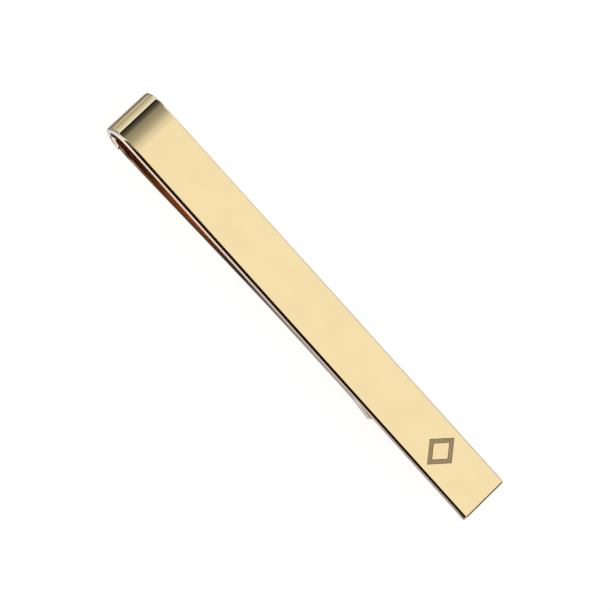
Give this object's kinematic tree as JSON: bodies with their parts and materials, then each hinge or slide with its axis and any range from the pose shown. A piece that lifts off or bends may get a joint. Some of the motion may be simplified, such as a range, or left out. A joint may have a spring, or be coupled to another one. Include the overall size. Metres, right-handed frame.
{
  "type": "tie clip",
  "caption": "Slide-on tie clip: a flat mirror-polished gold-coloured bar curled over at its head, with a thin leaf-spring tongue behind it that pinches the tie.",
  "frame": {"origin": "centre of the object's box, at its lowest point, with the clip lying face up and its bar level", "axes": "+X along the bar from the curled head to the free end, +Y across the bar, +Z out of the polished face"},
  "size_m": [0.058, 0.0064, 0.0031],
  "materials": {
    "bar_gold": "mirror-polished pale gold plate over brass",
    "tongue_gold": "bright gold plate over spring brass, a little less polished than the bar",
    "solder": "plated hard solder"
  },
  "bodies": {
    "bar": {"front_bar": "bar_gold", "solder_seam": "solder"},
    "tongue": {"spring_tongue": "tongue_gold"}
  },
  "joints": [
    {"name": "tongue_flex", "type": "hinge", "parent": "bar", "child": "tongue", "pos_m": [-0.02641, 0, 0.00015], "axis": [0, 1, 0], "range_deg": [0, 6], "stiffness_Nm_per_rad": 0.4, "springref_deg": -1.15}
  ]
}
